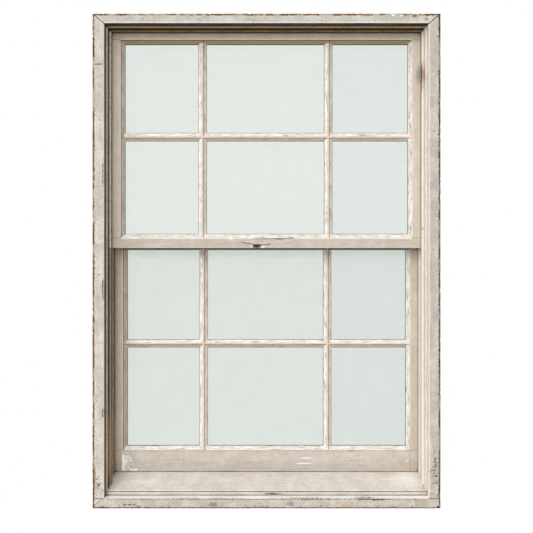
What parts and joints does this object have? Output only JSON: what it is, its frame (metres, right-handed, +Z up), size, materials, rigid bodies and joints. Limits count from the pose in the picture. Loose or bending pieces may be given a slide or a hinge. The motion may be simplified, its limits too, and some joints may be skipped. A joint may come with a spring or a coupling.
{
  "type": "sliding sash window",
  "caption": "Old painted timber window with its frame: vertically sliding sashes with glazing bars and puttied panes between stops, a sloping sill, picture-frame casing and a sash bolt.",
  "frame": {"origin": "middle of the sill's underside, halfway along its length and its depth", "axes": "+X to the right seen from outside, +Y into the room, +Z up"},
  "size_m": [1.02, 0.1858, 1.45],
  "materials": {
    "painted_casing_timber": "worn off-white paint on timber, brown at the outer arrises",
    "painted_sash_timber": "weathered off-white paint on timber",
    "painted_bead_timber": "off-white paint on timber, less worn",
    "painted_sill_timber": "weathered off-white paint on timber, worn towards the nose",
    "glazing_putty": "painted linseed putty, knifed to a bevel",
    "window_glass": "clear drawn sheet glass with a faint green tint",
    "cast_iron": "dark cast iron, worn",
    "brass": "dull cast brass"
  },
  "bodies": {
    "frame": {"sill": "painted_sill_timber", "left_jamb": "painted_casing_timber", "right_jamb": "painted_casing_timber", "head_jamb": "painted_casing_timber", "left_casing": "painted_casing_timber", "right_casing": "painted_casing_timber", "head_casing": "painted_casing_timber", "bottom_casing": "painted_casing_timber", "left_blind_stop": "painted_bead_timber", "right_blind_stop": "painted_bead_timber", "head_blind_stop": "painted_bead_timber", "left_parting_bead": "painted_bead_timber", "right_parting_bead": "painted_bead_timber", "head_parting_bead": "painted_bead_timber", "left_inner_stop": "painted_bead_timber", "right_inner_stop": "painted_bead_timber", "head_inner_stop": "painted_bead_timber", "sill_inner_stop": "painted_bead_timber", "outer_left_pulley_case": "cast_iron", "outer_right_pulley_case": "cast_iron", "inner_left_pulley_case": "cast_iron", "inner_right_pulley_case": "cast_iron"},
    "outer_left_pulley_wheel": {"outer_left_pulley_wheel": "cast_iron"},
    "outer_right_pulley_wheel": {"outer_right_pulley_wheel": "cast_iron"},
    "inner_left_pulley_wheel": {"inner_left_pulley_wheel": "cast_iron"},
    "inner_right_pulley_wheel": {"inner_right_pulley_wheel": "cast_iron"},
    "upper_sash": {"upper_left_stile": "painted_sash_timber", "upper_right_stile": "painted_sash_timber", "upper_top_rail": "painted_sash_timber", "upper_meeting_rail": "painted_sash_timber", "upper_left_bar": "painted_sash_timber", "upper_right_bar": "painted_sash_timber", "upper_cross_bars": "painted_sash_timber", "upper_pane_top_left": "window_glass", "upper_pane_top_middle": "window_glass", "upper_pane_top_right": "window_glass", "upper_pane_bottom_left": "window_glass", "upper_pane_bottom_middle": "window_glass", "upper_pane_bottom_right": "window_glass", "upper_putty": "glazing_putty", "bolt_strike": "brass"},
    "lower_sash": {"lower_left_stile": "painted_sash_timber", "lower_right_stile": "painted_sash_timber", "lower_meeting_rail": "painted_sash_timber", "lower_bottom_rail": "painted_sash_timber", "lower_left_bar": "painted_sash_timber", "lower_right_bar": "painted_sash_timber", "lower_cross_bars": "painted_sash_timber", "lower_pane_top_left": "window_glass", "lower_pane_top_middle": "window_glass", "lower_pane_top_right": "window_glass", "lower_pane_bottom_left": "window_glass", "lower_pane_bottom_middle": "window_glass", "lower_pane_bottom_right": "window_glass", "lower_putty": "glazing_putty", "bolt_bush": "brass", "left_sash_lift": "cast_iron", "right_sash_lift": "cast_iron"},
    "sash_bolt": {"sash_bolt": "brass"}
  },
  "joints": [
    {"name": "upper_sash_slide", "type": "slide", "parent": "frame", "child": "upper_sash", "axis": [0, 0, 1], "range_m": [-0.55, 0]},
    {"name": "lower_sash_slide", "type": "slide", "parent": "frame", "child": "lower_sash", "axis": [0, 0, 1], "range_m": [0, 0.55]},
    {"name": "sash_bolt_slide", "type": "slide", "parent": "lower_sash", "child": "sash_bolt", "axis": [0, -1, 0], "range_m": [0, 0.02]},
    {"name": "outer_left_pulley_spin", "type": "hinge", "parent": "frame", "child": "outer_left_pulley_wheel", "pos_m": [-0.4895, -0.0125, 1.29], "axis": [0, 1, 0], "continuous": true},
    {"name": "outer_right_pulley_spin", "type": "hinge", "parent": "frame", "child": "outer_right_pulley_wheel", "pos_m": [0.4895, -0.0125, 1.29], "axis": [0, 1, 0], "continuous": true},
    {"name": "inner_left_pulley_spin", "type": "hinge", "parent": "frame", "child": "inner_left_pulley_wheel", "pos_m": [-0.4895, 0.0385, 1.29], "axis": [0, 1, 0], "continuous": true},
    {"name": "inner_right_pulley_spin", "type": "hinge", "parent": "frame", "child": "inner_right_pulley_wheel", "pos_m": [0.4895, 0.0385, 1.29], "axis": [0, 1, 0], "continuous": true}
  ]
}
